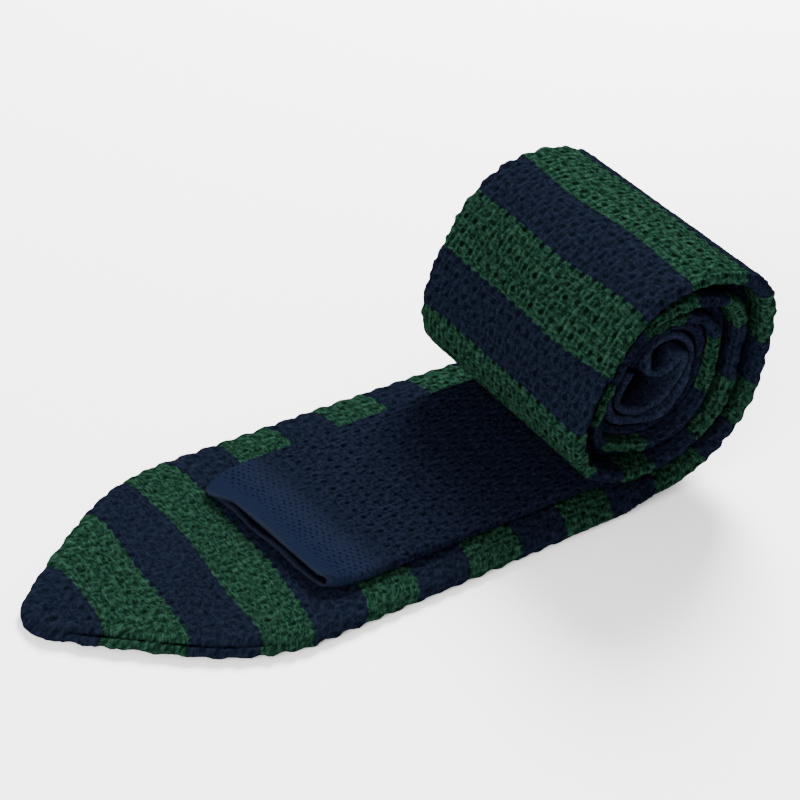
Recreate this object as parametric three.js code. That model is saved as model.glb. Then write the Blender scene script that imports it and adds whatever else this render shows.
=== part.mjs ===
// A knitted tie, folded in half and rolled up from the fold, lying on its blade.
// Millimetres, +Z up. The blade's point looks along -X and the roll is at +X.
// The origin is on the surface that the tie lies on, in the middle of its outline.
//
// The tie is one long flat knitted sleeve: a striped blade with a closed point, a plain
// narrow neck band, and a plain tail that ends in a fine hem with an open mouth.
// Two layers run side by side: the blade is the outer one and the tail the inner one.
// They lie flat, rise at the roll, go round it to its middle, and meet there in the fold.
import * as THREE from 'three';

// The blade
const bladeWidth = 59.5;
const bladeThickness = 3;
const bladeRolledThickness = 2.4;
const pointLength = 40;
const bladeRest = 111;

// The neck band and its fold in the middle of the roll
const neckWidth = 42;
const neckShift = -3;
const neckThickness = 1.8;
const neckTurns = 0.85;
const foldRadius = 3.6;
const foldTurns = 0.69;
const foldReturn = 1.75;
const bendHandle = 1 / 3;

// The tail and its hem
const tailWidth = 41;
const tailThickness = 2.3;
const tailRolledThickness = 2;
const tailRest = 63;
const tailShift = -2;
const hemLength = 9;
const hemSlant = 2;
const mouthThickness = 3.2;
const mouthSlot = 1.4;
const mouthLength = 1.4;
const gapeLength = 5.4;

// Inside every sleeve its two walls lie this far apart. The slot ends one thickness short of the
// edges, or at slotLeast of the half width. Corners are cut off by a share of the thickness.
const sleeveSlot = 0.3;
const slotLeast = 0.4;
const cornerShare = 0.3;

// The roll: its first outer radius, the height of its underside, and the air in it
const rollRadius = 24.8;
const rollLift = 1.9;
const riseLength = 10.5;
const layerGap = 0.3;
const looseGap = 0.5;
const tightGap = 0.45;

// Steps of the mesh, a short turn for finding headings, and the point's sections without a slot
const stepsPerTurn = 24;
const leastStep = 0.3;
const foldSteps = 10;
const bendSteps = 4;
const riseSteps = 8;
const openSteps = 4;
const shortTurn = 0.001;
const closedSteps = 3;

// Outline of the blade's point: along, width and thickness are shares of the point's length and
// of the blade's width and thickness, and aside is how far its middle lies off, a share of the width
const pointSections = [
  { along: 0.0, width: 0.05, aside: 0.04, thickness: 0.5 },
  { along: 0.03, width: 0.13, aside: 0.035, thickness: 0.75 },
  { along: 0.09, width: 0.22, aside: 0.032, thickness: 0.95 },
  { along: 0.22, width: 0.375, aside: 0.03, thickness: 1.05 },
  { along: 0.36, width: 0.525, aside: 0.027, thickness: 1.08 },
  { along: 0.52, width: 0.7, aside: 0.022, thickness: 1.06 },
  { along: 0.68, width: 0.85, aside: 0.017, thickness: 1.03 },
  { along: 0.84, width: 0.94, aside: 0.01, thickness: 1.0 },
  { along: 1.0, width: 1.0, aside: 0.0, thickness: 1.0 },
];

// Past the point the blade narrows to the neck band: along is the share of that stretch, width the
// share that is left of the difference between the two widths, and aside the share of the neck's shift
const bladeTaper = [
  { along: 0.0, width: 1.0, aside: 0.0 },
  { along: 0.1, width: 0.96, aside: 0.1 },
  { along: 0.25, width: 0.85, aside: 0.35 },
  { along: 0.45, width: 0.72, aside: 0.5 },
  { along: 0.7, width: 0.5, aside: 0.75 },
  { along: 1.0, width: 0.12, aside: 1.0 },
];

// The roll has settled out of round: radius is the share of the round spiral's radius
const rollOutline = [
  { angle: -90, radius: 1.0 },
  { angle: -60, radius: 0.975 },
  { angle: -30, radius: 0.985 },
  { angle: 0, radius: 1.01 },
  { angle: 30, radius: 1.185 },
  { angle: 60, radius: 1.16 },
  { angle: 90, radius: 1.05 },
  { angle: 120, radius: 0.94 },
  { angle: 150, radius: 0.875 },
  { angle: 180, radius: 0.96 },
  { angle: 210, radius: 1.13 },
  { angle: 240, radius: 1.035 },
];

// A row of a table found between its neighbours
function between(rows, key, at, column) {
  const last = rows[rows.length - 1];
  if (at >= last[key]) return last[column];
  const upper = rows.findIndex((row) => row[key] > at);
  if (upper < 1) return rows[0][column];
  const share = (at - rows[upper - 1][key]) / (rows[upper][key] - rows[upper - 1][key]);
  return THREE.MathUtils.lerp(rows[upper - 1][column], rows[upper][column], share);
}

// The roll's outline runs smoothly through its rows, and closes on itself
function settled(turn) {
  const place = THREE.MathUtils.euclideanModulo(turn, 1) * rollOutline.length;
  const row = Math.floor(place);
  const share = place - row;
  const radius = (step) => rollOutline[(row + step + rollOutline.length) % rollOutline.length].radius;
  const slopeIn = (radius(1) - radius(-1)) / 2;
  const slopeOut = (radius(2) - radius(0)) / 2;
  const rest = radius(1) - radius(0);
  const square = 3 * rest - 2 * slopeIn - slopeOut;
  const cube = slopeIn + slopeOut - 2 * rest;
  return radius(0) + share * (slopeIn + share * (square + share * cube));
}

// The spiral loses one pair of layers and their gaps in each turn
const loosePitch = bladeRolledThickness + tailRolledThickness + layerGap + looseGap;
const neckPair = 2 * neckThickness + layerGap;
const tightPitch = neckPair + tightGap;
const eyeRadius = 2 * foldRadius + neckThickness / 2;
const turns = (2 * (rollRadius - eyeRadius)) / (loosePitch + tightPitch);
const rollX = bladeRest + riseLength;
const rollZ = rollRadius + rollLift;

function spiralRadius(turn) {
  return rollRadius - loosePitch * turn + ((loosePitch - tightPitch) * turn * turn) / (2 * turns);
}

// A station is a place along both layers: at(depth) is the point that far above their underside
function openStation(x) {
  const share = THREE.MathUtils.smoothstep(x, bladeRest, rollX);
  return { x, turn: 0, at: (depth) => new THREE.Vector2(x, rollLift * share + depth) };
}

function rollStation(turn) {
  const angle = (turn - 0.25) * 2 * Math.PI;
  const direction = new THREE.Vector2(Math.cos(angle), Math.sin(angle));
  const at = (depth) => {
    const radius = (spiralRadius(turn) - depth) * settled(turn);
    return new THREE.Vector2(rollX, rollZ).addScaledVector(direction, radius);
  };
  return { x: rollX, turn, at };
}

// Stations from one turn to another, at the same angles in every layer and none too near the ends
function rollStations(from, to) {
  const stations = [rollStation(from)];
  const first = Math.ceil(from * stepsPerTurn + leastStep);
  for (let step = first; step < to * stepsPerTurn - leastStep; step += 1) {
    stations.push(rollStation(step / stepsPerTurn));
  }
  stations.push(rollStation(to));
  return stations;
}

function openStations(from, to, steps) {
  const places = Array.from({ length: steps }, (_, step) => THREE.MathUtils.lerp(from, to, step / steps));
  return places.map(openStation);
}

// Thickness of the two layers, from the stretch that lies open to the neck band
function outerThickness(station) {
  if (station.turn > turns - neckTurns) return neckThickness;
  if (station.turn > 0) {
    const share = station.turn / (turns - neckTurns);
    return THREE.MathUtils.lerp(bladeRolledThickness, neckThickness, share * share);
  }
  const pressed = THREE.MathUtils.smoothstep(station.x, bladeRest - riseLength, rollX);
  return THREE.MathUtils.lerp(bladeThickness, bladeRolledThickness, pressed);
}

function innerThickness(station) {
  if (station.turn > turns - neckTurns) return neckThickness;
  if (station.turn > 0) {
    return THREE.MathUtils.lerp(tailRolledThickness, neckThickness, station.turn / (turns - neckTurns));
  }
  const pressed = THREE.MathUtils.smoothstep(station.x, bladeRest - riseLength, rollX);
  return THREE.MathUtils.lerp(tailThickness, tailRolledThickness, pressed);
}

// Lengths measured along the underside, with 0 at the blade's point or the tail's end
function withLengths(stations) {
  let along = 0;
  return stations.map((station, index) => {
    if (index > 0) along += station.at(0).distanceTo(stations[index - 1].at(0));
    return { ...station, along };
  });
}

// One section of a sleeve: an outer outline of eight corners, and the slot between its walls
function section({ lower, upper, halfWidth, middle, slot, skew = 0 }) {
  const across = upper.clone().sub(lower);
  const thickness = across.length();
  const corner = cornerShare * Math.min(thickness, halfWidth);
  const slotHalf = Math.max(halfWidth - thickness, slotLeast * halfWidth);
  const slotShare = slot / thickness / 2;
  const along = new THREE.Vector2(across.y, -across.x).normalize();
  const place = (side, share) => {
    const shift = along.clone().multiplyScalar((-skew * side) / halfWidth);
    const point = lower.clone().addScaledVector(across, share).add(shift);
    return new THREE.Vector3(point.x, middle + side, point.y);
  };
  const outline = [
    [halfWidth, cornerShare], [halfWidth, 1 - cornerShare],
    [halfWidth - corner, 1], [-halfWidth + corner, 1],
    [-halfWidth, 1 - cornerShare], [-halfWidth, cornerShare],
    [-halfWidth + corner, 0], [halfWidth - corner, 0],
  ].map(([side, share]) => place(side, share));
  const inside = [
    [slotHalf, 0.5 + slotShare], [-slotHalf, 0.5 + slotShare],
    [-slotHalf, 0.5 - slotShare], [slotHalf, 0.5 - slotShare],
  ].map(([side, share]) => place(side, share));
  return { outline, inside };
}

// A sleeve through its sections. A closed start has no slot in its first sections.
function sleeve(name, colour, sections, closed = 0) {
  const triangles = [];
  const wall = (first, second) => {
    first.forEach((corner, index) => {
      const next = (index + 1) % first.length;
      triangles.push([corner, first[next], second[next]], [corner, second[next], second[index]]);
    });
  };
  for (let index = 1; index < sections.length; index += 1) {
    wall(sections[index - 1].outline, sections[index].outline);
    if (index > closed) wall([...sections[index].inside], [...sections[index - 1].inside]);
  }
  const lid = (corners, turned) => {
    for (let index = 2; index < corners.length; index += 1) {
      const face = [corners[0], corners[index], corners[index - 1]];
      triangles.push(turned ? face.reverse() : face);
    }
  };
  const rim = ({ outline, inside }, turned) => {
    inside.forEach((corner, index) => {
      const next = inside[(index + 1) % inside.length];
      const from = outline[2 * index + 1];
      const to = outline[(2 * index + 2) % outline.length];
      const faces = [[outline[2 * index], corner, from], [from, next, to], [from, corner, next]];
      faces.forEach((face) => triangles.push(turned ? face.reverse() : face));
    });
  };
  if (closed > 0) {
    lid(sections[0].outline, false);
    lid(sections[closed].inside, true);
  } else {
    rim(sections[0], false);
  }
  rim(sections[sections.length - 1], true);
  return meshOf(name, colour, triangles);
}

// A mesh from triangles, turned so that its faces point outwards
function meshOf(name, colour, triangles) {
  const volume = triangles.reduce((sum, [a, b, c]) => sum + a.dot(b.clone().cross(c)), 0);
  const facing = volume < 0 ? triangles.map(([a, b, c]) => [a, c, b]) : triangles;
  const geometry = new THREE.BufferGeometry().setFromPoints(facing.flat());
  geometry.computeVertexNormals();
  const material = new THREE.MeshStandardMaterial({ color: colour, roughness: 0.95, metalness: 0 });
  const mesh = new THREE.Mesh(geometry, material);
  mesh.name = name;
  return mesh;
}

// The two layers' stations: the outer one from the point inwards, the inner one from the tail's end
const joinTurn = turns - neckTurns;
const joinAngle = layerGap / (2 * Math.PI * spiralRadius(joinTurn));
const pointStations = pointSections.map((row) => openStation(row.along * pointLength));
const bladeStations = withLengths([
  ...pointStations,
  ...openStations(pointLength, bladeRest - riseLength, openSteps).slice(1),
  ...openStations(bladeRest - riseLength, rollX, riseSteps),
  ...rollStations(0, joinTurn),
]);

const tailEnd = bladeRest - tailRest;
const hemEnd = tailEnd + hemLength;
const tailStations = withLengths([
  ...openStations(hemEnd + layerGap, bladeRest - riseLength, openSteps),
  ...openStations(bladeRest - riseLength, rollX, riseSteps),
  ...rollStations(0, joinTurn),
]);

// The blade: striped on the real one, closed at its point
function blade() {
  const length = bladeStations[bladeStations.length - 1].along - pointLength;
  const sections = bladeStations.map((station) => {
    const inPoint = station.along / pointLength;
    const past = (station.along - pointLength) / length;
    const body = THREE.MathUtils.lerp(neckWidth, bladeWidth, between(bladeTaper, 'along', past, 'width'));
    const width = inPoint < 1 ? bladeWidth * between(pointSections, 'along', inPoint, 'width') : body;
    const puffed = between(pointSections, 'along', inPoint, 'thickness');
    const thickness = outerThickness(station) * puffed;
    const pointAside = bladeWidth * between(pointSections, 'along', inPoint, 'aside');
    const middle = pointAside + neckShift * between(bladeTaper, 'along', past, 'aside');
    return section({
      lower: station.at(0), upper: station.at(thickness), halfWidth: width / 2, middle, slot: sleeveSlot,
    });
  });
  return sleeve('blade', 0x1c2b3c, sections, closedSteps);
}

// The tail: plain, above the blade, open at both ends
function slanted(x) {
  return hemSlant * (1 - THREE.MathUtils.smoothstep(x, hemEnd, bladeRest - riseLength));
}

function tail() {
  const length = tailStations[tailStations.length - 1].along;
  const sections = tailStations.map((station) => {
    const share = station.along / length;
    const under = outerThickness(station) + layerGap;
    const skew = station.turn > 0 ? 0 : slanted(station.x);
    return section({
      lower: station.at(under),
      upper: station.at(under + innerThickness(station)),
      halfWidth: THREE.MathUtils.lerp(tailWidth, neckWidth, share) / 2,
      middle: THREE.MathUtils.lerp(tailShift, neckShift, share),
      slot: sleeveSlot,
      skew,
    });
  });
  return sleeve('tail', 0x27364c, sections);
}

// The hem: fine knit, with a mouth that gapes a little
function hem() {
  const under = bladeThickness + layerGap;
  const rows = [
    { x: tailEnd, thickness: mouthThickness, slot: mouthSlot, width: 0.89 },
    { x: tailEnd + mouthLength, thickness: mouthThickness, slot: mouthSlot, width: 0.95 },
    { x: tailEnd + gapeLength, thickness: tailThickness, slot: sleeveSlot, width: 0.99 },
    { x: hemEnd, thickness: tailThickness, slot: sleeveSlot, width: 1 },
  ];
  const sections = rows.map((row) => section({
    lower: new THREE.Vector2(row.x, under),
    upper: new THREE.Vector2(row.x, under + row.thickness),
    halfWidth: (row.width * tailWidth) / 2,
    middle: tailShift,
    slot: row.slot,
    skew: hemSlant,
  }));
  return sleeve('tail_hem', 0x2c3f5c, sections);
}

// The neck band: in along the outer layer, round the fold, and out along the inner layer
function neckBand() {
  const outer = rollStations(joinTurn + joinAngle, turns);
  const start = outer[outer.length - 1].at(neckThickness / 2);
  const ahead = rollStation(turns + shortTurn).at(neckThickness / 2);
  const heading = ahead.sub(start).angle();
  const towards = (angle) => new THREE.Vector2(Math.cos(angle), Math.sin(angle));
  const rightOf = (angle) => new THREE.Vector2(Math.sin(angle), -Math.cos(angle));
  const centre = start.clone().addScaledVector(rightOf(heading), -foldRadius);
  const halfBand = ({ point, angle }) => ({
    lower: point.clone().addScaledVector(rightOf(angle), neckThickness / 2),
    upper: point.clone().addScaledVector(rightOf(angle), -neckThickness / 2),
  });

  // Round the fold the band turns back by more than half a circle, then bends to lie beside itself
  const loop = Array.from({ length: foldSteps }, (_, step) => {
    const angle = heading + (2 * Math.PI * foldTurns * (step + 1)) / foldSteps;
    return { point: centre.clone().addScaledVector(rightOf(angle), foldRadius), angle };
  });
  const innerMiddle = (station) => station.at(1.5 * neckThickness + layerGap);
  const backTurn = turns - (foldReturn * foldRadius) / (2 * Math.PI * (eyeRadius - neckPair / 2));
  const back = innerMiddle(rollStation(backTurn));
  const backHeading = back.clone().sub(innerMiddle(rollStation(backTurn + shortTurn))).angle();
  const last = loop[loop.length - 1];
  const handle = last.point.distanceTo(back) * bendHandle;
  const bend = new THREE.CubicBezierCurve(
    last.point,
    last.point.clone().addScaledVector(towards(last.angle), handle),
    back.clone().addScaledVector(towards(backHeading), -handle),
    back,
  );
  const bent = Array.from({ length: bendSteps - 1 }, (_, step) => {
    const share = (step + 1) / bendSteps;
    return { point: bend.getPoint(share), angle: bend.getTangent(share).angle() };
  });

  const inner = rollStations(joinTurn + joinAngle, backTurn).reverse();
  const bands = [
    ...outer.map((station) => ({ lower: station.at(0), upper: station.at(neckThickness) })),
    ...[...loop, ...bent].map(halfBand),
    ...inner.map((station) => ({
      lower: station.at(2 * neckThickness + layerGap), upper: station.at(neckThickness + layerGap),
    })),
  ];
  const sections = bands.map((band) => section({
    ...band, halfWidth: neckWidth / 2, middle: neckShift, slot: sleeveSlot,
  }));
  return sleeve('neck_band', 0x18263a, sections);
}

// The whole tie, moved so that the origin is in the middle of its outline
const tie = new THREE.Group();
tie.add(blade(), neckBand(), tail(), hem());
const outlineBox = new THREE.Box3().setFromObject(tie);
tie.position.x = -(outlineBox.min.x + outlineBox.max.x) / 2;

export default tie;
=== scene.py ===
import math

import bmesh
import bpy
import numpy as np
from mathutils import Matrix, Vector


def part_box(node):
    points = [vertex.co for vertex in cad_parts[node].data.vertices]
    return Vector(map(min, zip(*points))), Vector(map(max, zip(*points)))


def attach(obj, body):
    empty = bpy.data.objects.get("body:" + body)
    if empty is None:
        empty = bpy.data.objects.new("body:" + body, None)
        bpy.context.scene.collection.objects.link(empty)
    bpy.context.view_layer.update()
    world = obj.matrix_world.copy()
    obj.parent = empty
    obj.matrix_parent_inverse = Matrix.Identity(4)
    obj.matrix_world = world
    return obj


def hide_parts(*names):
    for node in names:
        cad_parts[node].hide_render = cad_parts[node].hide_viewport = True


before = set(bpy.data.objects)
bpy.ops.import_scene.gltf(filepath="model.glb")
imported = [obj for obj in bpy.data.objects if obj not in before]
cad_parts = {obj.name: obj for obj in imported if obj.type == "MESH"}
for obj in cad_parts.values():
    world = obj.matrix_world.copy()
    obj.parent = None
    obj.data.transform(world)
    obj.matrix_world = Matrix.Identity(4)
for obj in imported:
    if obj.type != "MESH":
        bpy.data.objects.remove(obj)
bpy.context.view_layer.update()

# The blade: the wide end of the tie, one flat tube of tuck knit in broad stripes of navy and
# dark green wool. Its blunt point is closed. It lies flat on the table, rises at the roll,
# and is then the roll's outer layer down to the neck band.

# How the strip lies, in millimetres from the blade's point: flat for blade_rest, then up and round
# a spiral that starts at roll_radius and has settled out of round by the shares in roll_outline.
# These are the sizes of the CAD part, so that each layer lies in the space of its solid.
mm = 0.001
blade_width = 59.5
blade_thickness = 3.0
blade_rolled_thickness = 2.4
blade_rest = 111.0
point_length = 40.0
neck_width = 42.0
neck_shift = -3.0
neck_thickness = 1.8
neck_turns = 0.85
fold_radius = 3.6
tail_rolled_thickness = 2.0
roll_radius = 24.8
roll_lift = 1.9
rise_length = 10.5
layer_gap = 0.3
loose_gap = 0.5
tight_gap = 0.45
roll_outline = np.array([1.0, 0.975, 0.985, 1.01, 1.185, 1.16, 1.05, 0.94, 0.875, 0.96, 1.13, 1.035])

loose_pitch = blade_rolled_thickness + tail_rolled_thickness + layer_gap + loose_gap
neck_pair = 2 * neck_thickness + layer_gap
tight_pitch = neck_pair + tight_gap
eye_radius = 2 * fold_radius + neck_thickness / 2
turns = 2 * (roll_radius - eye_radius) / (loose_pitch + tight_pitch)
roll_x = blade_rest + rise_length
roll_z = roll_radius + roll_lift
join_turn = turns - neck_turns
shift_x = float(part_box("blade")[0].x) / mm


def smooth(value, low, high):
    share = np.clip((value - low) / (high - low), 0, 1)
    return share * share * (3 - 2 * share)


def blend(low, high, share):
    return low + (high - low) * share


def settled(turn):
    place = np.mod(turn, 1) * len(roll_outline)
    row = np.floor(place).astype(int)
    share = place - row
    before, here, after, later = (roll_outline[(row + step) % len(roll_outline)] for step in (-1, 0, 1, 2))
    slope_in, slope_out, rest = (after - before) / 2, (later - here) / 2, after - here
    return here + share * (slope_in + share * ((3 * rest - 2 * slope_in - slope_out)
                                               + share * (slope_in + slope_out - 2 * rest)))


def spiral_radius(turn):
    return roll_radius - loose_pitch * turn + (loose_pitch - tight_pitch) * turn ** 2 / (2 * turns)


def rolled(turn, depth):
    angle = (turn - 0.25) * 2 * math.pi
    radius = (spiral_radius(turn) - depth) * settled(turn)
    return roll_x + np.cos(angle) * radius, roll_z + np.sin(angle) * radius


# Lengths along the strip's underside, and the turn of the spiral that each length reaches
open_steps = 500
roll_steps = 4000
fine_x = np.linspace(0, roll_x, open_steps)
fine_lift = roll_lift * smooth(fine_x, blade_rest, roll_x)
open_length = np.concatenate([[0], np.cumsum(np.hypot(np.diff(fine_x), np.diff(fine_lift)))])
fine_turn = np.linspace(0, turns, roll_steps)
fine_roll = np.array(rolled(fine_turn, 0))
roll_length = np.concatenate([[0], np.cumsum(np.hypot(*np.diff(fine_roll)))])
strip_open = open_length[-1]


def turn_at(along):
    return np.interp(along - strip_open, roll_length, fine_turn)


def length_at(turn):
    return strip_open + float(np.interp(turn, fine_turn, roll_length))


def lay(along, depth):
    """Where a point of the strip lies, from its place along the strip and its height above the underside."""
    x = np.interp(along, open_length, fine_x)
    z = roll_lift * smooth(x, blade_rest, roll_x) + depth
    round_x, round_z = rolled(turn_at(along), depth)
    on_roll = along > strip_open
    return np.where(on_roll, round_x, x), np.where(on_roll, round_z, z)


def layer_thickness(along, flat, pressed, ease):
    """A layer's thickness: full where it lies open, pressed in the roll, down to the neck band's."""
    x = np.interp(along, open_length, fine_x)
    open_part = blend(flat, pressed, smooth(x, blade_rest - rise_length, roll_x))
    share = np.clip(turn_at(along) / join_turn, 0, 1)
    return np.where(along > strip_open, blend(pressed, neck_thickness, share ** ease), open_part)


def round_sleeve(half_width, thickness, dense, sparse, edge, turned=0, crowd=1):
    """Sections of a flat tube, from the middle of its far edge over the top, the near edge and the
    underside. dense columns lie on its upper wall where turned is 0, and on its lower wall where it is 1.
    sparse columns lie on the other wall, and edge columns on each edge."""
    column = np.arange(dense + sparse + 2 * edge + 1)[None, :]
    upper = blend(dense, sparse, turned)
    lower = dense + sparse - upper
    share = lambda start, count: np.clip((column - start) / count, 0, 1)
    top = share(edge / 2, upper)
    top = 1 - (1 - top) ** blend(1, crowd, turned)
    near = share(edge / 2 + upper, edge)
    bottom = share(1.5 * edge + upper, lower)
    angle = math.pi * (share(0, edge / 2) / 2 + near + share(1.5 * edge + upper + lower, edge / 2) / 2)
    radius = np.minimum(thickness / 2, half_width)
    side = (half_width - radius) * (1 - 2 * top + 2 * bottom) + radius * np.cos(angle)
    depth = thickness / 2 + thickness / 2 * np.sin(angle)
    steps = np.hypot(np.diff(side, axis=1), np.diff(depth, axis=1))
    around = np.concatenate([np.zeros((len(side), 1)), np.cumsum(steps, axis=1)], axis=1)
    # the seam of the count is where the middle of the upper wall lies
    from_far = half_width - radius + radius * math.pi / 2
    return side, depth, around - from_far


def raised(points, height):
    """Points of a tube, rows by columns, moved out along the surface by height, with its seam kept closed."""
    height = np.concatenate([height[:, :-1], height[:, :1]], axis=1)
    along = np.gradient(points, axis=0)
    ring = points[:, :-1]
    across = (np.roll(ring, -1, axis=1) - np.roll(ring, 1, axis=1)) / 2
    across = np.concatenate([across, across[:, :1]], axis=1)
    normal = np.cross(across, along)
    shortest = 1e-9
    normal /= np.maximum(np.linalg.norm(normal, axis=2, keepdims=True), shortest)
    return points + normal * height[:, :, None]


def knitted_tube(name, points, weave):
    """A flat grid put in place as a tube. weave is its map, in courses and wales or in millimetres."""
    rows, columns = points.shape[0], points.shape[1] - 1
    half_grid = 0.5
    grid = bmesh.new()
    bmesh.ops.create_grid(grid, x_segments=rows - 1, y_segments=columns, size=half_grid)
    cloth = bpy.data.meshes.new(name)
    grid.to_mesh(cloth)
    flat = np.empty(len(cloth.vertices) * 3, np.float32)
    cloth.vertices.foreach_get("co", flat)
    flat = flat.reshape(-1, 3)
    row = np.rint((flat[:, 0] + half_grid) * (rows - 1)).astype(int)
    column = np.rint((flat[:, 1] + half_grid) * columns).astype(int)
    placed = (points[row, column] * mm).astype(np.float32)
    cloth.vertices.foreach_set("co", placed.ravel())
    corners = np.empty(len(cloth.loops), np.int32)
    cloth.loops.foreach_get("vertex_index", corners)
    layer = cloth.uv_layers.new(name="weave")
    layer.data.foreach_set("uv", weave[row, column][corners].astype(np.float32).ravel())
    # the tube's seam is closed, and its closed end merged, before the faces are turned outwards
    seam_reach, shortest_edge = 1e-7, 1e-8
    grid.clear()
    grid.from_mesh(cloth)
    bmesh.ops.remove_doubles(grid, verts=grid.verts, dist=seam_reach)
    bmesh.ops.dissolve_degenerate(grid, edges=grid.edges, dist=shortest_edge)
    bmesh.ops.recalc_face_normals(grid, faces=grid.faces)
    for face in grid.faces:
        face.smooth = True
    grid.to_mesh(cloth)
    grid.free()
    piece = bpy.data.objects.new(name, cloth)
    bpy.context.scene.collection.objects.link(piece)
    return piece


# The blade's outline: the point's half, then the taper to the neck band
point_along = np.array([0, 0.03, 0.09, 0.22, 0.36, 0.52, 0.68, 0.84, 1]) * point_length
point_width = np.array([0.05, 0.13, 0.22, 0.375, 0.525, 0.7, 0.85, 0.94, 1]) * blade_width
point_aside = np.array([0.04, 0.035, 0.032, 0.03, 0.027, 0.022, 0.017, 0.01, 0]) * blade_width
point_puffed = np.array([0.5, 0.75, 0.95, 1.05, 1.08, 1.06, 1.03, 1, 1])
taper_along = np.array([0, 0.1, 0.25, 0.45, 0.7, 1])
taper_width = np.array([1, 0.96, 0.85, 0.72, 0.5, 0.12])
taper_aside = np.array([0, 0.1, 0.35, 0.5, 0.75, 1])
blade_end = length_at(join_turn)
closed_width, closed_thickness = 0.6, 0.5
rounded_from, rounded_reach = 6, 2.5

# Where each stripe ends, in millimetres along the blade. Stripes are five courses long, and open
# stitches stand on every other course.
stripe_ends = [0, 12, 24, 35, 45, 56, 67, 78, 90, 101, 112, 122.5, 132.5, 142.6, 152.7, 163, 174.5, 184.5,
               198.5, 210.3, 223.7, 236.3, 247.5, 256.5, 266, 277.5, 292, 305, 316.5, 324, 337, 349, 358,
               366, 378, 396, 409]
courses = 5
wale = 3.05
hidden_stripe = 11.5


def evened(along, values, reach):
    """Values along the strip with their corners rounded over reach millimetres."""
    steps = np.linspace(-reach, reach, 9)
    return np.mean([np.interp(along + step, along, values) for step in steps], axis=0)


# The blade's mesh: its steps along the strip, short on the first turn, where they show, and its columns
# round the tube, most of them in the wall that shows: the upper one on the table, the lower one in the roll
shown_roll = 152
shown_step, change_step, hidden_step = 0.55, 0.8, 1.3
dense_columns, sparse_columns, edge_columns = 96, 24, 10
turn_from, turn_to = 113, 124
turn_crowd = 1.8
visible = np.arange(0, strip_open + shown_roll, shown_step)
hidden = np.arange(visible[-1] + change_step, blade_end, hidden_step)
along = np.concatenate([visible, hidden, [blade_end]])
past = (along - point_length) / (blade_end - point_length)
body = blend(neck_width, blade_width, np.interp(past, taper_along, taper_width))
width = np.where(along < point_length, np.interp(along, point_along, point_width), body)
width = np.where(along > rounded_from, evened(along, width, rounded_reach), width)
middle = np.interp(along, point_along, point_aside) + neck_shift * np.interp(past, taper_along, taper_aside)
puffed = np.interp(along, point_along, point_puffed)
thickness = layer_thickness(along, blade_thickness, blade_rolled_thickness, 2) * puffed
width[0], thickness[0] = closed_width, closed_thickness
turned = smooth(along, turn_from, turn_to)[:, None]
side, depth, around = round_sleeve(width[:, None] / 2, thickness[:, None], dense_columns, sparse_columns,
                                   edge_columns, turned, turn_crowd)
along2 = along[:, None] + 0 * side
# Where the blade lies open, its courses bend towards the point along the edges, and all wander a little
course_bow, bow_reach, bow_end = 2.6, 3, 130
from_edge = width[:, None] / 2 - np.abs(side)
bowed = along2 + course_bow * np.exp(-from_edge / bow_reach) * (along2 < bow_end)
wander = 0.35 * np.sin(along2 * 0.11 + side * 0.13) + 0.25 * np.sin(along2 * 0.31 - side * 0.21 + 1.3)
stripe = np.interp(bowed + wander, stripe_ends, np.arange(len(stripe_ends)))
stripe += np.maximum(bowed + wander - stripe_ends[-1], 0) / hidden_stripe
blade_courses = stripe * courses
blade_wales = (around + 0.25 * np.sin(along2 * 0.17 + around * 0.2)) / wale


def tuck_relief(course, wales, deep):
    """Tuck knit: a dimple at each open stitch and a fainter one between, as heights in millimetres."""
    faint_share, groove_share = 0.4, 0.15
    open_from, faint_from, deepest = 0.4, 0.6, 2.0
    row, stitch = np.cos(math.pi * course), np.cos(2 * math.pi * wales)
    open_stitch = smooth(row + stitch, open_from, deepest)
    faint = smooth(-row - stitch, faint_from, deepest)
    groove = (1 + np.cos(4 * math.pi * wales)) / 2
    return -deep * (open_stitch + faint_share * faint + groove_share * groove)


# The relief of the knit, in millimetres: dimples, scallops along the edges, small lumps, and rough edges
# where the layers end on the faces of the roll
dimple_depth, surface_lift = 0.42, 0.06
scallop_height, scallop_reach = 0.25, 1.2
rough_height, rough_reach = 0.3, 1.6
lump_height = 0.1
in_roll = smooth(along, strip_open + 20, strip_open + 60)
scallop = scallop_height * np.cos(math.pi * blade_courses) * np.exp(-from_edge / scallop_reach)
ends = in_roll[:, None] * np.exp(-from_edge / rough_reach)
rough = np.sin(along2 * 1.45 + 1.9 * np.sin(along2 * 0.37))
scallop += rough_height * ends * rough * np.cos(depth * 2.1 + along2 * 0.5)
lumps = lump_height * np.sin(along2 * 1.9 + 1.7 * np.sin(around * 1.3))
lumps = lumps * np.sin(around * 2.3 + 2.1 * np.sin(along2 * 0.9))
relief = tuck_relief(blade_courses, blade_wales, dimple_depth) + surface_lift + scallop + lumps
# Along the point's near edge the upper wall ends in a crease, and a smooth band of edge stands below it.
# The crease and the band's ridge each follow a column of the mesh.
crease_depth, crease_column, crease_spread = 1.5, 102.5, 1.1
ridge_height, ridge_column, ridge_spread = 0.5, 106.5, 2
column = np.arange(side.shape[1])[None, :]
creased = smooth(along2, 3, 9) * (1 - smooth(along2, 34, 37))
relief += creased * (ridge_height * np.exp(-((column - ridge_column) / ridge_spread) ** 2)
                     - crease_depth * np.exp(-((column - crease_column) / crease_spread) ** 2))
relief *= smooth(along2, 0, 3)
lay_x, lay_z = lay(along2, depth)
# In the roll the layers' edges don't lie quite flush
aside = middle + in_roll * (0.5 * np.sin(along / 11) + 0.4 * np.sin(along / 5.3 + 1))
blade_points = np.stack([lay_x + shift_x, aside[:, None] + side, lay_z], axis=2)
blade_points = raised(blade_points, relief)
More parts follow.
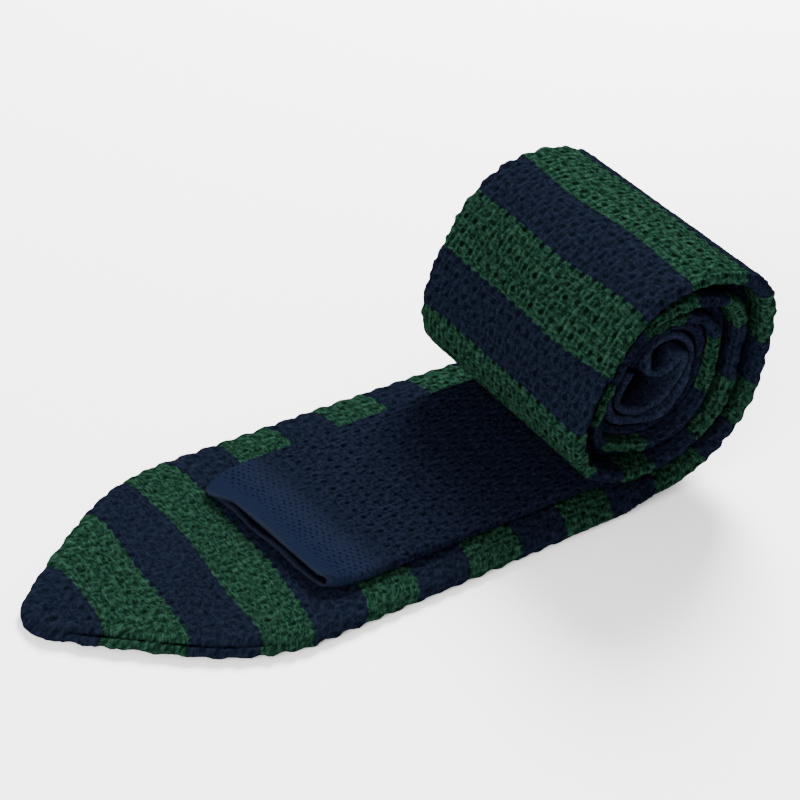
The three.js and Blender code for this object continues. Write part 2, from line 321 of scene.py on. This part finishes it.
# Its underside is kept just clear of the table
above_table = 0.02
blade_points[:, :, 2] = np.maximum(blade_points[:, :, 2], above_table)
blade_points[0] = blade_points[0].mean(axis=0)
blade = knitted_tube("blade_knit", blade_points, np.stack([blade_courses, blade_wales], axis=2))


def put(tree, kind, **settings):
    made = tree.nodes.new(kind)
    for key, value in settings.items():
        setattr(made, key, value)
    return made


def feed(tree, socket, value):
    if isinstance(value, bpy.types.NodeSocket):
        tree.links.new(value, socket)
    else:
        socket.default_value = value


def sums(tree, operation, *values):
    made = put(tree, "ShaderNodeMath", operation=operation)
    for socket, value in zip(made.inputs, values):
        feed(tree, socket, value)
    return made.outputs[0]


def eased(tree, value, low, high, start=0.0, end=1.0):
    made = put(tree, "ShaderNodeMapRange", interpolation_type="SMOOTHSTEP")
    for socket, given in zip(made.inputs, (value, low, high, start, end)):
        feed(tree, socket, given)
    return made.outputs[0]


def mixed(tree, share, first, second):
    made = put(tree, "ShaderNodeMix", data_type="RGBA")
    feed(tree, made.inputs[0], share)
    feed(tree, made.inputs[6], first)
    feed(tree, made.inputs[7], second)
    return made.outputs[2]


def speckle(tree, vector, scale, detail, rough=0.55):
    made = put(tree, "ShaderNodeTexNoise")
    feed(tree, made.inputs["Vector"], vector)
    made.inputs["Scale"].default_value = scale
    made.inputs["Detail"].default_value = detail
    made.inputs["Roughness"].default_value = rough
    return made.outputs["Fac"]


# Wool is quite matt, and a raised loop of it stands this far out, in metres
wool_roughness = 0.95
loop_height = 0.0007


def wool(name):
    """An empty wool material: its tree, its surface, and the courses and wales of the weave map."""
    material = bpy.data.materials.new(name)
    material.use_nodes = True
    tree = material.node_tree
    surface = tree.nodes["Principled BSDF"]
    surface.inputs["Roughness"].default_value = wool_roughness
    surface.inputs["Specular IOR Level"].default_value = 0.0
    uv = put(tree, "ShaderNodeUVMap", uv_map="weave").outputs[0]
    split = put(tree, "ShaderNodeSeparateXYZ")
    tree.links.new(uv, split.inputs[0])
    return material, tree, surface, uv, split.outputs[0], split.outputs[1]


def finish_wool(tree, surface, colour, height):
    bump = put(tree, "ShaderNodeBump")
    bump.inputs["Strength"].default_value = 1.0
    bump.inputs["Distance"].default_value = loop_height
    tree.links.new(height, bump.inputs["Height"])
    tree.links.new(bump.outputs[0], surface.inputs["Normal"])
    tree.links.new(colour, surface.inputs["Base Color"])


# Each wool has a dark and a light tone, mixed partly by painted light on its raised wool, a near black for
# the painted shade in its holes, and a pale one for a painted highlight on stray fibres
navy = (0.0029, 0.0045, 0.0094, 1)
navy_light = (0.0086, 0.0116, 0.0228, 1)
navy_hole_shade = (0.0017, 0.0026, 0.0056, 1)
green = (0.0018, 0.0095, 0.0057, 1)
green_light = (0.0202, 0.055, 0.034, 1)
green_hole_shade = (0.0005, 0.0024, 0.0015, 1)
stray_glint_navy = (0.0221, 0.0281, 0.0442, 1)
stray_glint_green = (0.0467, 0.0978, 0.0663, 1)

# Open stitches lie on a grid of every other course and every wale. A spot darkens with painted shade from the
# first of its two distances to the second, in steps of its grid, and its wander says how far it may lie out
# of place.
open_grid = (0.5, 1.0)
open_spot, open_wander = (0.23, 0.1), 0.1
faint_spot, faint_wander = (0.21, 0.09), 0.18
pinhole_spot, pinhole_wander = (0.27, 0.06), 0.75
spot_squashed = 1.6
strand_grid = (5.5, 2.4)


def cells(tree, course, wales, along, across, shift, wander, squashed=1.0):
    """A grid of cells, one open stitch in each and a little out of place: the distance from it, and its own
    number. squashed makes the stitch shorter along the tie."""
    place = put(tree, "ShaderNodeCombineXYZ")
    tree.links.new(sums(tree, "MULTIPLY_ADD", course, along, shift), place.inputs[0])
    tree.links.new(sums(tree, "MULTIPLY_ADD", wales, across, shift), place.inputs[1])
    cell = put(tree, "ShaderNodeTexVoronoi", voronoi_dimensions="2D", feature="F1")
    tree.links.new(place.outputs[0], cell.inputs["Vector"])
    cell.inputs["Scale"].default_value = 1.0
    cell.inputs["Randomness"].default_value = wander
    number = put(tree, "ShaderNodeSeparateColor")
    tree.links.new(cell.outputs["Color"], number.inputs[0])
    offset = put(tree, "ShaderNodeVectorMath", operation="SUBTRACT")
    tree.links.new(place.outputs[0], offset.inputs[0])
    tree.links.new(cell.outputs["Position"], offset.inputs[1])
    shaped = put(tree, "ShaderNodeVectorMath", operation="MULTIPLY")
    tree.links.new(offset.outputs[0], shaped.inputs[0])
    shaped.inputs[1].default_value = (squashed, 1, 0)
    distance = put(tree, "ShaderNodeVectorMath", operation="LENGTH")
    tree.links.new(shaped.outputs[0], distance.inputs[0])
    return distance.outputs["Value"], number.outputs[0]


def stitches(tree, uv, course, wales, loops_along, loops_across, opening):
    """Tuck knit in the shader: how dark it is at a point with painted shade in its holes, how lit it is with
    painted light on its raised wool, its height there, and its fibre.
    """
    fibre = sums(tree, "SUBTRACT", speckle(tree, uv, 9.0, 3.0, 0.75), 0.5)
    # an open stitch in each cell of the grid, and a faint one in the middle of each four, each darkened by
    # painted shade
    apart, own = cells(tree, course, wales, *open_grid, 0.5, open_wander, spot_squashed)
    apart = sums(tree, "MULTIPLY_ADD", fibre, 0.14, apart)
    strength = sums(tree, "MULTIPLY_ADD", own, 0.3, 0.7)
    open_stitch = sums(tree, "MULTIPLY", eased(tree, apart, *open_spot), strength)
    open_stitch = sums(tree, "MULTIPLY", open_stitch, opening)
    apart, own = cells(tree, course, wales, *open_grid, 0.0, faint_wander, spot_squashed)
    apart = sums(tree, "MULTIPLY_ADD", fibre, 0.12, apart)
    strength = sums(tree, "MULTIPLY_ADD", own, 0.4, 0.35)
    faint = sums(tree, "MULTIPLY", eased(tree, apart, *faint_spot), strength)
    # single loops of wool, of many sizes, with a small hole of painted shade in each
    apart, own = cells(tree, course, wales, loops_along, loops_across, 0.3, pinhole_wander)
    pinhole = eased(tree, sums(tree, "MULTIPLY_ADD", fibre, 0.35, apart), *pinhole_spot)
    pinhole = sums(tree, "MULTIPLY", pinhole, sums(tree, "POWER", own, 0.9))
    pinhole = sums(tree, "MULTIPLY", pinhole, sums(tree, "MULTIPLY_ADD", opening, 0.35, 0.25))
    dark = sums(tree, "MAXIMUM", open_stitch, sums(tree, "MAXIMUM", faint, pinhole))
    # the wool itself: strands that run across, in short light bars, and loose fibre, which raise it and give
    # its lit tone, painted light on the raised wool
    strands = put(tree, "ShaderNodeCombineXYZ")
    tree.links.new(sums(tree, "MULTIPLY", course, strand_grid[0]), strands.inputs[0])
    tree.links.new(sums(tree, "MULTIPLY", wales, strand_grid[1]), strands.inputs[1])
    bars = sums(tree, "SUBTRACT", speckle(tree, strands.outputs[0], 1.0, 1.0), 0.5)
    swell = sums(tree, "ADD", sums(tree, "MULTIPLY", apart, 0.6), sums(tree, "MULTIPLY", fibre, 1.8))
    swell = sums(tree, "ADD", swell, sums(tree, "MULTIPLY", bars, 1.6))
    # a shallow groove beside each wale
    groove = sums(tree, "MULTIPLY", sums(tree, "MULTIPLY_ADD", fibre, 0.1, wales), 4 * math.pi)
    groove = sums(tree, "COSINE", groove)
    swell = sums(tree, "ADD", swell, sums(tree, "MULTIPLY", sums(tree, "MULTIPLY", groove, -0.12), opening))
    height = sums(tree, "ADD", sums(tree, "MULTIPLY", dark, -1.0), sums(tree, "MULTIPLY", swell, 0.5))
    return dark, eased(tree, swell, -0.2, 1.2), height, fibre


# Single loops to a course and to a wale, and the courses over which the knit opens from its closest, at the
# point
blade_loops = (1.9, 2.5)
opens_over, closest = (15.0, 60.0), 0.45
# A stripe's edge follows the loops, so it is a little ragged, and a few loose fibres catch the light
edge_wave, edge_fray = 0.06, 0.45
glint_from, glint_to, glint_strength = 0.66, 0.8, 0.75


def striped_wool():
    material, tree, surface, uv, course, wales = wool("blade_knit")
    opening = eased(tree, course, *opens_over, closest, 1.0)
    dark, lit, height, fibre = stitches(tree, uv, course, wales, *blade_loops, opening)
    wave = sums(tree, "COSINE", sums(tree, "MULTIPLY", wales, 2 * math.pi))
    ragged = sums(tree, "MULTIPLY_ADD", wave, edge_wave, course)
    ragged = sums(tree, "MULTIPLY_ADD", fibre, edge_fray, ragged)
    place = sums(tree, "FLOORED_MODULO", sums(tree, "DIVIDE", ragged, float(courses)), 2.0)
    is_green = sums(tree, "GREATER_THAN", place, 1.0)
    navy_wool, green_wool = mixed(tree, lit, navy, navy_light), mixed(tree, lit, green, green_light)
    colour = mixed(tree, is_green, navy_wool, green_wool)
    # painted shade in the knit's holes, over the lit and shaded tones of each stripe
    colour = mixed(tree, dark, colour, mixed(tree, is_green, navy_hole_shade, green_hole_shade))
    # painted highlight: a few loose fibres lit pale
    stray = eased(tree, speckle(tree, uv, 7.0, 2.0, 0.8), glint_from, glint_to, 0.0, glint_strength)
    colour = mixed(tree, stray, colour, mixed(tree, is_green, stray_glint_navy, stray_glint_green))
    finish_wool(tree, surface, colour, height)
    return material


blade.data.materials.append(striped_wool())
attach(blade, "root")
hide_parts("blade")


# The neck band: the narrow middle of the tie, plain navy and knitted close. It goes in from the
# blade's end, turns back in a small fold in the middle of the roll, and comes out again to the tail.
fold_turns = 0.69
fold_return = 1.75
heading_step = 0.001
line_steps, loop_steps, bend_steps = 80, 40, 17
band_step = 0.8
band_wall_columns = 40


def heading_of(step):
    return math.atan2(step[1], step[0])


def right_of(angle):
    return np.array([math.sin(angle), -math.cos(angle)])


join_angle = layer_gap / (2 * math.pi * float(spiral_radius(join_turn)))
outer_turns = np.linspace(join_turn + join_angle, turns, line_steps)
outer_line = np.array(rolled(outer_turns, neck_thickness / 2)).T
ahead = np.array(rolled(np.array([turns, turns + heading_step]), neck_thickness / 2)).T
heading = heading_of(ahead[1] - ahead[0])
fold_centre = outer_line[-1] - right_of(heading) * fold_radius
loop_angles = heading + 2 * math.pi * fold_turns * np.arange(1, loop_steps + 1) / loop_steps
loop_line = np.array([fold_centre + right_of(angle) * fold_radius for angle in loop_angles])
back_turn = turns - fold_return * fold_radius / (2 * math.pi * (eye_radius - neck_pair / 2))
inner_turns = np.linspace(back_turn, join_turn + join_angle, line_steps)
inner_depth = 1.5 * neck_thickness + layer_gap
inner_line = np.array(rolled(inner_turns, inner_depth)).T
near_back = np.array(rolled(np.array([back_turn, back_turn + heading_step]), inner_depth)).T
back_heading = heading_of(near_back[0] - near_back[1])
# From the loop a smooth bend brings the band back to lie beside itself
reach = float(np.linalg.norm(inner_line[0] - loop_line[-1])) / 3
leaving = np.array([math.cos(loop_angles[-1]), math.sin(loop_angles[-1])])
arriving = np.array([math.cos(back_heading), math.sin(back_heading)])
handles = [loop_line[-1], loop_line[-1] + reach * leaving, inner_line[0] - reach * arriving, inner_line[0]]
share = np.linspace(0, 1, bend_steps + 1)[1:-1, None]
bend_line = ((1 - share) ** 3 * handles[0] + 3 * (1 - share) ** 2 * share * handles[1]
             + 3 * (1 - share) * share ** 2 * handles[2] + share ** 3 * handles[3])
band_line = np.concatenate([outer_line, loop_line, bend_line, inner_line])
band_length = np.concatenate([[0], np.cumsum(np.linalg.norm(np.diff(band_line, axis=0), axis=1))])
band_along = np.arange(0, band_length[-1], band_step)
band_middle = np.stack([np.interp(band_along, band_length, band_line[:, axis]) for axis in (0, 1)], axis=1)
band_heading = np.gradient(band_middle, axis=0)
band_heading /= np.linalg.norm(band_heading, axis=1, keepdims=True)
band_out = np.stack([-band_heading[:, 1], band_heading[:, 0]], axis=1)

each_row = np.ones((len(band_along), 1))
side, depth, around = round_sleeve(neck_width / 2 * each_row, neck_thickness * each_row, band_wall_columns,
                                   band_wall_columns, edge_columns)
band_xz = band_middle[:, None, :] + band_out[:, None, :] * (depth - neck_thickness / 2)[:, :, None]
band_aside = neck_shift + 0.6 * np.sin(band_along / 6) + 0.3 * np.sin(band_along / 2.3)
band_points = np.stack([band_xz[:, :, 0] + shift_x, band_aside[:, None] + side, band_xz[:, :, 1]], axis=2)
close_course, close_wale = 1.6, 1.5
band_courses = band_along[:, None] / close_course + 0 * side
band_wales = around / close_wale
# Fine loops, and low soft lumps
loop_relief, lump_relief = 0.1, 0.22
band_relief = loop_relief * np.cos(2 * math.pi * band_wales) * np.cos(math.pi * band_courses)
band_relief = band_relief - loop_relief / 2
wavering = np.sin(band_along[:, None] / 1.7 + 1.5 * np.sin(band_along[:, None] / 4.3))
band_relief = band_relief + lump_relief * wavering * np.cos(around / 3.1)
band_points = raised(band_points, band_relief)
neck_band = knitted_tube("neck_band_knit", band_points, np.stack([band_courses, band_wales], axis=2))

band_navy = (0.0054, 0.0083, 0.0178, 1)
band_light = (0.0182, 0.0237, 0.0448, 1)
band_opening = 0.35
band_coarser = (0.7, 0.6)


def close_wool():
    """The blade's stitches, drawn a little larger to the band's fine courses and wales, and less open."""
    material, tree, surface, uv, course, wales = wool("neck_band_knit")
    course = sums(tree, "MULTIPLY", course, band_coarser[0])
    wales = sums(tree, "MULTIPLY", wales, band_coarser[1])
    dark, lit, height, fibre = stitches(tree, uv, course, wales, *blade_loops, band_opening)
    # painted shade in the holes, over the band's lit and shaded navy
    colour = mixed(tree, sums(tree, "MULTIPLY", dark, 0.8), mixed(tree, lit, band_navy, band_light), navy_hole_shade)
    finish_wool(tree, surface, colour, height)
    return material


neck_band.data.materials.append(close_wool())
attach(neck_band, "root")
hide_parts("neck_band")


# The tail: the narrow end, one flat tube of open mesh knit in a bluer navy. It lies on the blade
# and is then the roll's inner layer. Its open stitches stand in rows, with fainter rows between.
tail_width = 41.0
tail_thickness = 2.3
tail_rest = 63.0
tail_shift = -2.0
hem_length = 9.0
hem_slant = 2.0
tail_end = blade_rest - tail_rest
hem_end = tail_end + hem_length
tail_course = 2.4
tail_wale = 2.6
tail_dimple, tail_lift = 0.32, 0.05
# Its mesh takes short steps where it lies open
tail_shown_roll = 6
tail_step, tail_change_step, tail_hidden_step = 0.45, 0.9, 1.0
tail_columns = 90


def tail_relief(mm_along, mm_across):
    """The mesh knit of the tail, which fades into the hem's fine knit near the tail's end."""
    open_knit = tuck_relief(mm_along / tail_course, mm_across / tail_wale, tail_dimple)
    return open_knit * smooth(mm_along, 8.5, 15) + tail_lift


def tail_wander(along, around):
    """How far the courses of the tail and its hem stray from straight, in millimetres."""
    return 0.2 * np.sin(around * 0.3 + along * 0.1)


def slanted(along):
    """The tail's end is cut a little aslant, which is lost again by the roll."""
    return hem_slant * (1 - smooth(along, hem_end, blade_rest - rise_length))


open_part = np.arange(hem_end, strip_open + tail_shown_roll, tail_step)
rolled_part = np.arange(open_part[-1] + tail_change_step, blade_end, tail_hidden_step)
along = np.concatenate([open_part, rolled_part, [blade_end]])
share = (along - hem_end) / (blade_end - hem_end)
width = blend(tail_width, neck_width, share)
middle = blend(tail_shift, neck_shift, share)
under = layer_thickness(along, blade_thickness, blade_rolled_thickness, 2) + layer_gap
thickness = layer_thickness(along, tail_thickness, tail_rolled_thickness, 1)
side, depth, around = round_sleeve(width[:, None] / 2, thickness[:, None], tail_columns, sparse_columns,
                                   edge_columns)
placed_along = along[:, None] - slanted(along)[:, None] * side / (width[:, None] / 2)
lay_x, lay_z = lay(placed_along, depth + under[:, None])
tail_points = np.stack([lay_x + shift_x, middle[:, None] + side, lay_z], axis=2)
tail_mm = (along - tail_end)[:, None] + 0 * side + tail_wander(along[:, None], around)
tail_points = raised(tail_points, tail_relief(tail_mm, around))
tail = knitted_tube("tail_knit", tail_points, np.stack([tail_mm, around], axis=2))

# Its wool: the dark tone, the lit tones of the mesh and of the hem's fine knit, a painted highlight on its
# lip, and the painted shade of its holes
tail_navy = (0.0027, 0.0042, 0.0094, 1)
tail_light = (0.009, 0.0116, 0.0232, 1)
hem_light = (0.0051, 0.0081, 0.0191, 1)
hem_lip_highlight = (0.0105, 0.0128, 0.0195, 1)
tail_hole_shade = (0.0009, 0.0014, 0.0034, 1)
tail_loops = (2.1, 2.3)
# In millimetres from the tail's end: where the mesh opens, where its lit tone gives way to the hem's, where
# the dots of painted shade begin, and where the painted highlight on the lip lies
mesh_over, hem_tone_over, dots_over, lip_highlight_over = (7.0, 17.0), (16.0, 2.0), (1.0, 4.5), (0.5, 0.1)
dot_row, dot_step = 1.2, 2.2
dot_spot, dot_wander = (0.33, 0.1), 0.35
rib_step = 0.9


def mesh_wool(name):
    """The tail's wool, from the fine knit of the hem to the open mesh. Its map is in millimetres."""
    material, tree, surface, uv, along_mm, across_mm = wool(name)
    course = sums(tree, "DIVIDE", along_mm, tail_course)
    wales = sums(tree, "DIVIDE", across_mm, tail_wale)
    stretched = put(tree, "ShaderNodeCombineXYZ")
    tree.links.new(course, stretched.inputs[0])
    tree.links.new(wales, stretched.inputs[1])
    dark, lit, height, fibre = stitches(tree, stretched.outputs[0], course, wales, *tail_loops, 1.0)
    opened = eased(tree, sums(tree, "MULTIPLY_ADD", fibre, 4.0, along_mm), *mesh_over)
    closed = sums(tree, "SUBTRACT", 1.0, opened)
    # a staggered grid of dots, darkened with painted shade: every other row is moved aside by half a step
    row, step = sums(tree, "DIVIDE", along_mm, dot_row), sums(tree, "DIVIDE", across_mm, dot_step)
    slant, counter_slant = sums(tree, "ADD", row, step), sums(tree, "SUBTRACT", row, step)
    apart, own = cells(tree, slant, counter_slant, 1.0, 1.0, 0.5, dot_wander)
    dots = sums(tree, "MULTIPLY", eased(tree, apart, *dot_spot), eased(tree, along_mm, *dots_over))
    dots = sums(tree, "MULTIPLY", dots, sums(tree, "MULTIPLY_ADD", own, 0.6, 0.3))
    dots = sums(tree, "MULTIPLY", dots, closed)
    # the first rows are plain: fine ribs along the tail
    ribs = sums(tree, "SINE", sums(tree, "MULTIPLY", across_mm, 2 * math.pi / rib_step))
    ribs = sums(tree, "ADD", sums(tree, "MULTIPLY", ribs, 0.06), sums(tree, "MULTIPLY", fibre, 0.4))
    ribs = sums(tree, "MULTIPLY", ribs, closed)
    dark = sums(tree, "ADD", sums(tree, "MULTIPLY", dark, opened), sums(tree, "MULTIPLY", dots, 0.9))
    light = mixed(tree, eased(tree, along_mm, *hem_tone_over), tail_light, hem_light)
    # a painted highlight along the rounding of the lips
    light = mixed(tree, sums(tree, "MULTIPLY", eased(tree, along_mm, *lip_highlight_over), 0.8), light, hem_lip_highlight)
    # painted shade inside the mouth
    inside = eased(tree, along_mm, 0.0, -1.0)
    dark = sums(tree, "MAXIMUM", dark, sums(tree, "MULTIPLY", inside, 0.95))
    lit = sums(tree, "MAXIMUM", lit, sums(tree, "MULTIPLY", closed, 0.6))
    # painted shade in the mesh's holes, the hem's dots and the mouth
    colour = mixed(tree, dark, mixed(tree, lit, tail_navy, light), tail_hole_shade)
    fine_height = sums(tree, "SUBTRACT", ribs, sums(tree, "MULTIPLY", dots, 0.6))
    height = sums(tree, "ADD", sums(tree, "MULTIPLY", height, opened), fine_height)
    finish_wool(tree, surface, colour, height)
    return material


tail.data.materials.append(mesh_wool("tail_knit"))
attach(tail, "root")
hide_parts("tail")


# The tail's hem: its straight end, knitted fine and smooth, open as a flat mouth between its two
# walls. The walls are one thickness of knit, and turn in over their lips.
mouth_thickness = 2.7
mouth_gap = 0.06
lip, lip_roll = 0.5, 0.2
inside_depth = 8.0
hem_spread_at = [0, 1.4, 5.4, 9]
hem_spread = [0.89, 0.95, 0.99, 1]

# The rows of its mesh go out through the mouth, over the lip, and back along the outside
inside_rows, lip_rows, hem_step = 15, 5, 0.35
hem_rows = np.concatenate([np.linspace(-inside_depth, 0, inside_rows + 1)[:-1],
                           np.linspace(0, 1, lip_rows + 2)[1:-1],
                           np.arange(0, hem_length, hem_step), [hem_length]])
row = np.arange(len(hem_rows))
is_inside = row < inside_rows
is_lip = (row >= inside_rows) & (row < inside_rows + lip_rows)
out_mm = np.where(is_inside, -hem_rows, np.where(is_lip, 0, hem_rows))
turn_over = np.where(is_inside, 0.0, np.where(is_lip, hem_rows, 1.0))
outer_half = np.interp(out_mm, hem_spread_at, hem_spread) * tail_width / 2
hem_thickness = [mouth_thickness, mouth_thickness, tail_thickness, tail_thickness]
outer_thick = np.interp(out_mm, hem_spread_at, hem_thickness)
inner_half = outer_half - lip
inner_thick = np.maximum(outer_thick - 2 * lip, mouth_gap)
roll_over = np.sin(turn_over * math.pi) * lip_roll
share_out = (1 - np.cos(turn_over * math.pi)) / 2
half = blend(inner_half, outer_half, share_out)
thick = blend(inner_thick, outer_thick, share_out)
side, depth, around = round_sleeve(half[:, None], thick[:, None], tail_columns, sparse_columns, edge_columns)
depth = depth + (outer_thick - thick)[:, None] / 2
hem_along = tail_end + out_mm - roll_over
# The lower lip reaches a little further out than the upper one and wavers. The upper one droops over it at
# the far corner, and both corners are rounded.
lower_reach, corner_round = 0.35, 0.8
droop_back, droop_down = 1.7, 0.55
below = 1 - smooth(depth / outer_thick[:, None], 0.2, 0.7)
reach_out = (lower_reach + 0.2 * np.sin(side * 0.45) + 0.1 * np.sin(side * 1.7)) * below
near_mouth = 1 - smooth(np.abs(out_mm), 0.5, 5.0)[:, None]
drooping = smooth(side / half[:, None], 0.5, 0.95) * (1 - below) * near_mouth
corner = corner_round * smooth(np.abs(side) / half[:, None], 0.85, 1.0) ** 2 * near_mouth
placed_along = hem_along[:, None] - hem_slant * side / half[:, None] + corner
placed_along = placed_along - reach_out * near_mouth - droop_back * drooping
depth = depth * (1 - droop_down * drooping)
lay_x, lay_z = lay(placed_along, depth + blade_thickness + layer_gap)
hem_points = np.stack([lay_x + shift_x, tail_shift + side, lay_z], axis=2)
hem_mm = np.where(is_inside, hem_rows, out_mm)[:, None] + 0 * side
hem_mm = hem_mm + tail_wander((tail_end + out_mm)[:, None], around)
hem_points = raised(hem_points, tail_relief(hem_mm, around) * (~is_inside)[:, None])
tail_hem = knitted_tube("tail_hem_knit", hem_points, np.stack([hem_mm, around], axis=2))
tail_hem.data.materials.append(mesh_wool("hem_knit"))
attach(tail_hem, "root")
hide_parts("tail_hem")


# The table that the tie lies on: a plain sheet of matt white paper, flat and so wide that its edges
# stay out of the picture.
table_reach = 3.0
paper_white = (0.95, 0.95, 0.95, 1)
paper_roughness = 0.9
ground = bmesh.new()
bmesh.ops.create_grid(ground, x_segments=1, y_segments=1, size=table_reach)
floor_mesh = bpy.data.meshes.new("floor")
ground.to_mesh(floor_mesh)
ground.free()
floor = bpy.data.objects.new("floor", floor_mesh)
bpy.context.scene.collection.objects.link(floor)
paper = bpy.data.materials.new("floor_paper")
paper.use_nodes = True
paper.node_tree.nodes["Principled BSDF"].inputs["Base Color"].default_value = paper_white
paper.node_tree.nodes["Principled BSDF"].inputs["Roughness"].default_value = paper_roughness
floor_mesh.materials.append(paper)


# The studio: a soft light above and behind the roll, a wider and weaker one in front on the left, and
# a bright white room. The lights hang free, and the camera stands where the photograph was taken from.
room_brightness = 1.2


def soft_light(name, place, aim, size, power):
    lamp = bpy.data.lights.new(name, "AREA")
    lamp.shape = "SQUARE"
    lamp.size = size
    lamp.energy = power
    holder = bpy.data.objects.new(name, lamp)
    holder.location = place
    holder.rotation_mode = "QUATERNION"
    holder.rotation_quaternion = (Vector(aim) - Vector(place)).to_track_quat("-Z", "Y")
    bpy.context.scene.collection.objects.link(holder)


soft_light("key", (0.47, 0.41, 0.57), (0, 0, 0), 0.3, 34.0)
soft_light("front", (-0.76, -0.32, 0.38), (0, 0, 0.02), 0.6, 21.0)
room = bpy.data.worlds.new("room")
room.use_nodes = True
room.node_tree.nodes["Background"].inputs[0].default_value = (1, 1, 1, 1)
room.node_tree.nodes["Background"].inputs[1].default_value = room_brightness
bpy.context.scene.world = room

# The camera's place, tilt and lens were fitted to the straight edges of the tie in the photograph
camera_back = Vector((-0.44557, -0.66856, 0.59541)).normalized()
camera_aim = Vector((0.022716, 0.025431, 0.0))
camera_distance = 0.435281
film_width, focal_length = 36, 93.91
camera_azimuth, camera_roll = math.radians(-33.682), math.radians(1.492)
level = Vector((math.cos(camera_azimuth), math.sin(camera_azimuth), 0))
upright = camera_back.cross(level)
right = level * math.cos(camera_roll) + upright * math.sin(camera_roll)
up = upright * math.cos(camera_roll) - level * math.sin(camera_roll)
lens = bpy.data.cameras.new("camera")
lens.sensor_width = film_width
lens.lens = focal_length
lens.clip_start, lens.clip_end = 0.01, 20
camera = bpy.data.objects.new("camera", lens)
camera.matrix_world = Matrix((right, up, camera_back)).transposed().to_4x4()
camera.location = camera_aim + camera_back * camera_distance
bpy.context.scene.collection.objects.link(camera)
bpy.context.scene.camera = camera
